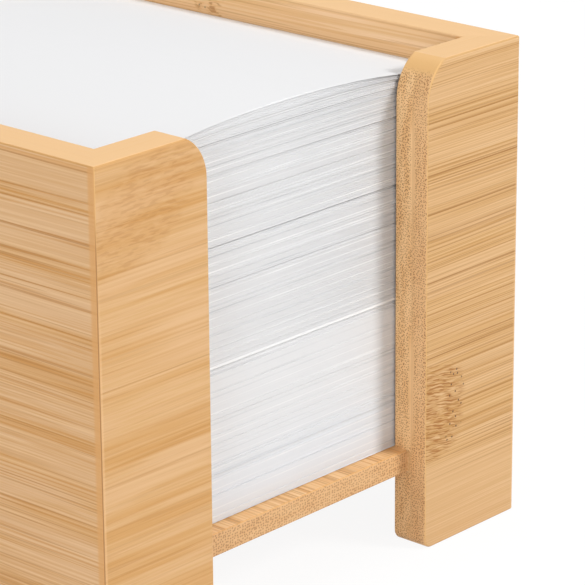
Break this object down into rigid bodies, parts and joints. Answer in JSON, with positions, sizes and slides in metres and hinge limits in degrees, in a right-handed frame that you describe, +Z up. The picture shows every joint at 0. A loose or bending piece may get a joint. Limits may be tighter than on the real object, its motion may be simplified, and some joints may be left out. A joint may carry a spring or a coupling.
{
  "type": "memo sheet holder",
  "caption": "Open-front desk holder of mitred bamboo boards, with a raised floor board in grooves and a stack of loose square memo sheets that lifts out in packs.",
  "frame": {"origin": "middle of the footprint, on the surface that the feet stand on", "axes": "+Z up; the open front faces -Y; +X is to the right when facing the open front"},
  "size_m": [0.105, 0.105, 0.09],
  "materials": {
    "bamboo_walls": "bamboo boards, sanded, clear matt finish",
    "bamboo_floor": "bamboo board, sanded, clear matt finish",
    "memo_paper": "uncoated white note paper"
  },
  "bodies": {
    "holder": {"left_wall": "bamboo_walls", "right_wall": "bamboo_walls", "back_wall": "bamboo_walls", "front_left_post": "bamboo_walls", "front_right_post": "bamboo_walls", "floor_board": "bamboo_floor"},
    "lower_pack": {"lower_pack_wad_1": "memo_paper", "lower_pack_wad_2": "memo_paper", "lower_pack_wad_3": "memo_paper", "lower_pack_wad_4": "memo_paper", "lower_pack_wad_5": "memo_paper", "lower_pack_wad_6": "memo_paper"},
    "middle_pack": {"middle_pack_wad_1": "memo_paper", "middle_pack_wad_2": "memo_paper", "middle_pack_wad_3": "memo_paper", "middle_pack_wad_4": "memo_paper"},
    "upper_pack": {"upper_pack_wad_1": "memo_paper", "upper_pack_wad_2": "memo_paper", "upper_pack_wad_3": "memo_paper", "upper_pack_wad_4": "memo_paper"},
    "top_pack": {"top_pack_wad_1": "memo_paper", "top_pack_wad_2": "memo_paper", "top_pack_wad_3": "memo_paper", "top_pack_wad_4": "memo_paper"},
    "loose_sheets": {"loose_sheets_wad_1": "memo_paper", "loose_sheets_wad_2": "memo_paper", "loose_sheets_wad_3": "memo_paper"}
  },
  "joints": [
    {"name": "lower_pack_lift", "type": "slide", "parent": "holder", "child": "lower_pack", "axis": [0, 0, 1], "range_m": [0, 0.078]},
    {"name": "middle_pack_lift", "type": "slide", "parent": "lower_pack", "child": "middle_pack", "axis": [0, 0, 1], "range_m": [0, 0.05]},
    {"name": "upper_pack_lift", "type": "slide", "parent": "middle_pack", "child": "upper_pack", "axis": [0, 0, 1], "range_m": [0, 0.03]},
    {"name": "top_pack_lift", "type": "slide", "parent": "upper_pack", "child": "top_pack", "axis": [0, 0, 1], "range_m": [0, 0.02]},
    {"name": "loose_sheets_lift", "type": "slide", "parent": "top_pack", "child": "loose_sheets", "axis": [0, 0, 1], "range_m": [0, 0.015]}
  ]
}
